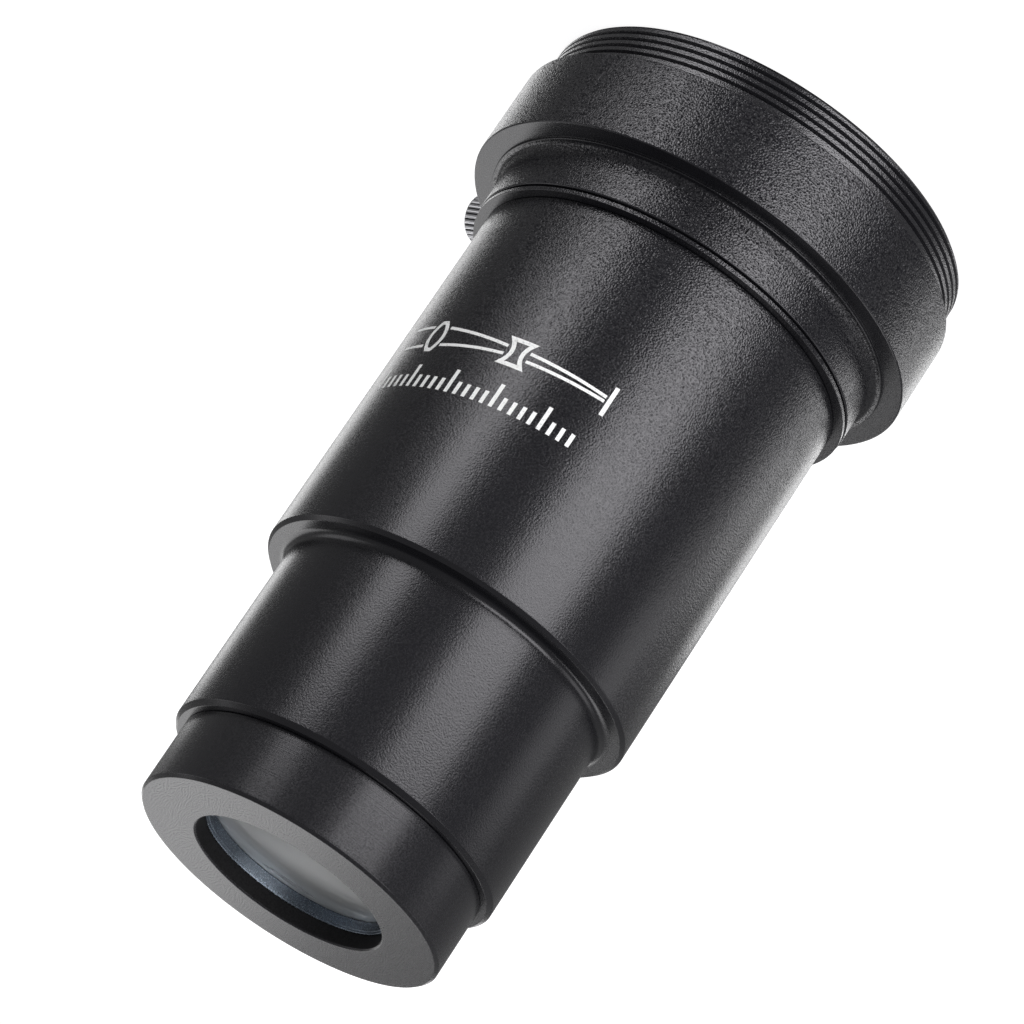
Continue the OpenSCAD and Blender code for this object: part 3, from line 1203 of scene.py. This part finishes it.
@dataclass
class Thumbscrew(SubAssembly):
    """The screw that clamps the eyepiece: a threaded shank in a straight-knurled head."""

    thread_tree: GeometryTree
    knurl_tree: GeometryTree
    axis_z: float = 8.4
    tip_x: float = 16.3
    head_x: float = 23.6
    head_len: float = 5.0
    head_r: float = 2.45
    shank_r: float = 1.45
    socket_depth: float = 3.0
    flutes: int = 28
    flute_depth: float = 0.2
    bevel: float = 0.3
    columns: int = 336

    def build(self) -> None:
        """Makes the shank and the head."""
        self.shank()
        self.head()

    def shank(self) -> None:
        """Makes the shank, threaded nearly to the head."""
        end = self.head_x + self.socket_depth
        spec = ThreadSpec(
            radius=self.shank_r,
            depth=0.27,
            pitch=0.5,
            low=self.tip_x + 0.4,
            high=self.head_x,
            run_out=self.head_x - 0.28,
            last=self.head_x - 0.3,
            columns=64,
            rows_per_turn=12,
        )
        root = spec.radius - spec.depth
        outline = rounded([Corner(root, spec.high), Corner(root, end, 0.1), Corner(0.0, end)], closed=False)
        tip = rounded(
            [Corner(0.0, self.tip_x), Corner(root - 0.15, self.tip_x, 0.12), Corner(root, spec.low)],
            closed=False,
        )
        shank = spin("screw_shank", outline, closed=False, segments=64)
        point = spin("screw_point", tip, closed=False, segments=64)
        self.join(shank, point)
        self.thread_tree.apply(shank, spec.inputs(), self.finishes.screw)
        shank.data.transform(laid_along_x(self.axis_z))
        self.add(shank, "screw_shank", "thumbscrew_shank", "screw_metal")

    def head(self) -> None:
        """Makes the knurled head, with its domed end and the socket that holds the shank."""
        near, far = self.head_x, self.head_x + self.head_len
        rim = self.head_r - self.bevel
        socket_r = self.shank_r + 0.05
        outline = rounded(
            [
                Corner(rim, far),
                Corner(rim - 0.25, far, 0.08),
                Corner(rim - 0.5, far - 0.12, 0.1),
                Corner(0.0, far - 0.12),
            ],
            closed=False,
        )
        back = rounded(
            [
                Corner(0.0, near + self.socket_depth + 0.03),
                Corner(socket_r, near + self.socket_depth + 0.03),
                Corner(socket_r, near, 0.05),
                Corner(rim, near),
            ],
            closed=False,
        )
        head = spin("screw_head", outline, closed=False, segments=self.columns)
        rear = spin("screw_head_back", back, closed=False, segments=self.columns)
        self.join(head, rear)
        values = {
            "Radius": self.head_r * MM,
            "Depth": self.flute_depth * MM,
            "Flutes": float(self.flutes),
            "Low": near * MM,
            "High": far * MM,
            "Chamfer": self.bevel * MM,
            "Columns": self.columns + 1,
            "Rows": 41,
        }
        self.knurl_tree.apply(head, values, self.finishes.screw)
        head.data.transform(laid_along_x(self.axis_z))
        self.add(head, "screw_head", "thumbscrew_head", "screw_metal")

    def join(self, piece: bpy.types.Object, other: bpy.types.Object) -> None:
        """Adds another object's mesh to a piece, and removes that object."""
        shape = bmesh.new()
        shape.from_mesh(piece.data)
        shape.from_mesh(other.data)
        shape.to_mesh(piece.data)
        shape.free()
        bpy.data.objects.remove(other)


@dataclass
class Markings(SubAssembly):
    """White print on the body: a ray diagram of a barlow lens over a plain rule, with no letters.

    Widths run round the body from the start angle, and heights are measured from the optical axis of the
    diagram. All are in millimetres.
    """

    tree: GeometryTree
    radius: float = 18.0
    film: float = 0.02
    start: float = -65.0
    axis_z: float = 33.7
    stroke: float = 0.4
    thin: float = 0.3
    objective_at: float = 4.2
    barlow_at: float = 13.6
    focus_at: float = 22.8
    ray: float = 1.05
    objective: float = 1.5
    barlow: float = 1.25
    rule_step: float = 0.95
    rule_count: int = 24
    rule_base: float = 39.3
    tick: float = 0.38
    tick_short: float = 1.3
    tick_long: float = 2.4

    def build(self) -> None:
        """Makes the diagram and the rule."""
        shape = bmesh.new()
        self.draw_lenses(shape)
        self.draw_rays(shape)
        self.draw_focus(shape)
        mesh = bpy.data.meshes.new("ray_diagram")
        bmesh.ops.recalc_face_normals(shape, faces=shape.faces)
        shape.to_mesh(mesh)
        shape.free()
        diagram = bpy.data.objects.new("ray_diagram", mesh)
        bpy.context.scene.collection.objects.link(diagram)
        dress(diagram, self.finishes.ink)
        self.add(diagram, "barrel", None, None)
        rule = bpy.data.objects.new("printed_rule", bpy.data.meshes.new("printed_rule"))
        bpy.context.scene.collection.objects.link(rule)
        values = {
            "Radius": self.radius * MM,
            "Ink": 2 * self.film * MM,
            "Start": math.radians(self.start),
            "Step": -self.rule_step / self.radius,
            "Width": self.tick * MM,
            "Short": self.tick_short * MM,
            "Long": self.tick_long * MM,
            "Base Z": self.rule_base * MM,
            "Count": self.rule_count,
        }
        self.tree.apply(rule, values, self.finishes.ink)
        self.add(rule, "barrel", None, None)

    def draw_lenses(self, shape: bmesh.types.BMesh) -> None:
        """Draws the bulging lens and the hollow one as closed lines."""
        for middle, half, edge, bulge in (
            (self.objective_at, self.objective, 0.28, 0.62),
            (self.barlow_at, self.barlow, 1.05, -0.5),
        ):
            right: list[Point] = []
            for step in range(13):
                share = step / 6 - 1
                right.append((middle + edge + bulge * (1 - share**2), half * share))
            left = [(2 * middle - across, up) for across, up in reversed(right)]
            self.ribbon(shape, right + left, self.stroke, closed=True)

    def draw_rays(self, shape: bmesh.types.BMesh) -> None:
        """Draws the rays on both sides of the axis: level, steeply in, and then gently in to the focus."""
        gap, bent, met = 1.15, 0.42, 0.22
        for side in (-1, 1):
            first = [(0.0, side * self.ray), (self.objective_at - gap, side * self.ray)]
            second = [
                (self.objective_at + gap + 0.05, side * (self.ray - 0.1)),
                (self.barlow_at - gap, side * bent),
            ]
            third = [(self.barlow_at + gap, side * bent), (self.focus_at - self.stroke, side * met)]
            for line in (first, second, third):
                self.ribbon(shape, line, self.thin)

    def draw_focus(self, shape: bmesh.types.BMesh) -> None:
        """Draws the focal plane as a bar."""
        self.ribbon(shape, [(self.focus_at, -self.objective), (self.focus_at, self.objective)], self.stroke)

    def ribbon(
        self, shape: bmesh.types.BMesh, path: Sequence[Point], width: float, closed: bool = False
    ) -> None:
        """Adds a printed line to a mesh, as a thin film that follows the body.

        Args:
            shape: The mesh.
            path: Points as width and height.
            width: The line's width.
            closed: Whether the line ends where it starts.
        """
        fine: list[Vector] = []
        ends = list(path) + ([path[0]] if closed else [])
        for one, other in zip(ends, ends[1:]):
            start, end = Vector(one), Vector(other)
            pieces = max(1, math.ceil((end - start).length / 0.5))
            fine += [start.lerp(end, k / pieces) for k in range(pieces)]
        if not closed:
            fine.append(Vector(path[-1]))
        count = len(fine)
        sections: list[list[bmesh.types.BMVert]] = []
        for i, point in enumerate(fine):
            back = fine[i - 1] if closed or i > 0 else point
            ahead = fine[(i + 1) % count] if closed or i < count - 1 else point
            one, other = (point - back), (ahead - point)
            one = one.normalized() if one.length else other.normalized()
            other = other.normalized() if other.length else one
            along = (one + other).normalized()
            across = Vector((-along.y, along.x)) * (width / 2 / max(0.4, along.dot(one)))
            section = []
            for sign, lift in ((-1, -1), (-1, 1), (1, 1), (1, -1)):
                spot = point + across * sign
                radius = self.radius + lift * self.film
                turn = math.radians(self.start) - spot.x / self.radius
                z = self.axis_z - spot.y
                place = (radius * math.cos(turn) * MM, radius * math.sin(turn) * MM, z * MM)
                section.append(shape.verts.new(place))
            sections.append(section)
        pairs = list(zip(sections, sections[1:])) + ([(sections[-1], sections[0])] if closed else [])
        for one, other in pairs:
            for k in range(4):
                n = (k + 1) % 4
                shape.faces.new([one[k], one[n], other[n], other[k]])
        if not closed:
            shape.faces.new(sections[0])
            shape.faces.new(sections[-1])


# ---------------------------------------------------------------- studio


@dataclass(frozen=True)
class View:
    """The camera: where it looks, from which side, and how it is turned."""

    aim: tuple[float, float, float] = (1.164, -1.27, 39.636)
    distance: float = 491.911
    azimuth: float = -137.78
    elevation: float = 22.2
    roll: float = 146.193
    lens: float = 198.62

    def build(self) -> None:
        """Makes the camera and sets it as the scene's."""
        data = bpy.data.cameras.new("view")
        data.sensor_width = 36.0
        data.lens = self.lens
        data.clip_start = 0.01
        data.clip_end = 20.0
        camera = bpy.data.objects.new("view", data)
        bpy.context.scene.collection.objects.link(camera)
        bpy.context.scene.camera = camera
        a, e = math.radians(self.azimuth), math.radians(self.elevation)
        back = Vector((math.cos(a) * math.cos(e), math.sin(a) * math.cos(e), math.sin(e)))
        level = (-back).cross(Vector((0, 0, 1))).normalized()
        upright = level.cross(-back)
        roll = math.radians(self.roll)
        up = upright * math.cos(roll) + level * math.sin(roll)
        right = (-back).cross(up)
        turn = Matrix((right, up, back)).transposed().to_4x4()
        place = (Vector(self.aim) + back * self.distance) * MM
        camera.matrix_world = Matrix.Translation(place) @ turn


@dataclass(frozen=True)
class SoftLight:
    """A soft box beside the object, above the table or under it, facing the axis.

    The azimuth is counted from the camera's side. Distance, height above the table and sizes are in
    millimetres, and power is in watts.
    """

    azimuth: float
    distance: float
    height: float
    aim_z: float
    width: float
    tall: float
    power: float

    def build(self, view: View, number: int) -> None:
        """Makes the light.

        Args:
            view: The camera, whose side the azimuth is counted from.
            number: The light's place in the list, for its name.
        """
        data = bpy.data.lights.new(f"soft_box_{number}", "AREA")
        data.shape = "RECTANGLE"
        data.size = self.width * MM
        data.size_y = self.tall * MM
        data.energy = self.power
        light = bpy.data.objects.new(data.name, data)
        light.visible_camera = False
        bpy.context.scene.collection.objects.link(light)
        turn = math.radians(view.azimuth - self.azimuth)
        place = Vector((self.distance * math.cos(turn), self.distance * math.sin(turn), self.height))
        facing = Vector((0.0, 0.0, self.aim_z)) - place
        light.location = place * MM
        light.rotation_mode = "QUATERNION"
        light.rotation_quaternion = facing.to_track_quat("-Z", "Y")


LIGHTS = (
    SoftLight(24, 200, -45, 37, 140, 95, 0.235),
    SoftLight(-50, 200, -50, 32, 72, 90, 0.107),
    SoftLight(-72, 200, -75, 7, 60, 40, 0.02),
    SoftLight(-150, 200, -45, 37, 72, 95, 0.046),
    SoftLight(115, 200, -70, 12, 90, 44, 0.032),
    SoftLight(150, 200, -65, 17, 72, 50, 0.028),
    SoftLight(90, 200, -20, 62, 72, 44, 0.011),
    SoftLight(30, 320, 188, 40, 330, 160, 0.8),
    SoftLight(90, 320, 188, 40, 180, 160, 0.13),
    SoftLight(-105, 320, 188, 40, 180, 160, 0.1),
    SoftLight(-165, 320, 188, 40, 180, 160, 0.11),
    SoftLight(180, 320, 60, 60, 200, 100, 0.1),
    SoftLight(165, 220, 330, 77, 300, 200, 0.5),
)


@dataclass
class Studio:
    """A pale table lit from below, a pale surround and soft boxes round the object.

    The table and the backdrop are for the eye only. The soft boxes and a weak ambient light the metal,
    so that its highlights have dark between them.
    """

    view: View = field(default_factory=View)
    lights: tuple[SoftLight, ...] = LIGHTS
    ambient: float = 0.225
    backdrop: float = 0.9

    def build(self) -> None:
        """Makes the table, the surround and the lights."""
        scene = bpy.context.scene
        scene.view_settings.view_transform = "Standard"
        self.cove()
        world = bpy.data.worlds.new("ambient")
        scene.world = world
        world.use_nodes = True
        feed(world.node_tree.nodes["Background"], {"Color": linear("ffffff"), "Strength": self.ambient})
        for number, light in enumerate(self.lights, start=1):
            light.build(self.view, number)

    def cove(self) -> None:
        """Makes the pale table, which curves up all round into the backdrop."""
        low = cad_low.z / MM - 0.02
        reach, bend, steps = 2400.0, 800.0, 12
        outline = [(0.0, low), (reach - bend, low)]
        for step in range(1, steps + 1):
            turn = math.pi / 2 * step / steps
            outline.append((reach - bend + bend * math.sin(turn), low + bend * (1 - math.cos(turn))))
        outline += [(reach, low + reach), (0.0, low + reach)]
        cove = spin("cove", outline, closed=False, segments=96)
        cove.data.flip_normals()
        cove.data.shade_smooth()
        values = {
            "Base Color": linear("a0a0a2"),
            "Roughness": 0.7,
            "Specular IOR Level": 0.2,
            "Emission Color": linear("ffffff"),
            "Emission Strength": self.backdrop,
        }
        dress(cove, new_material("pale_acrylic", values)[0])
        for ray in ("diffuse", "glossy", "transmission", "shadow"):
            setattr(cove, f"visible_{ray}", False)


def main() -> None:
    """Builds the studio and every sub-assembly in order."""
    logging.basicConfig(level=logging.INFO, format="%(name)s %(message)s")
    view = View()
    view.build()
    Studio(view).build()
    finishes = Finishes()
    thread = helical_thread_tree()
    knurl = fluted_sleeve_tree()
    ticks = tick_scale_tree()
    assemblies: list[SubAssembly] = [
        Barrel(finishes),
        Holder(finishes),
        CameraThread(finishes, thread),
        LensCell(finishes, thread),
        Thumbscrew(finishes, thread, knurl),
        Markings(finishes, ticks),
    ]
    for assembly in assemblies:
        assembly.build()
        log.info("%s: %d pieces", type(assembly).__name__, len(assembly.pieces))


if __name__ == "__main__":
    main()
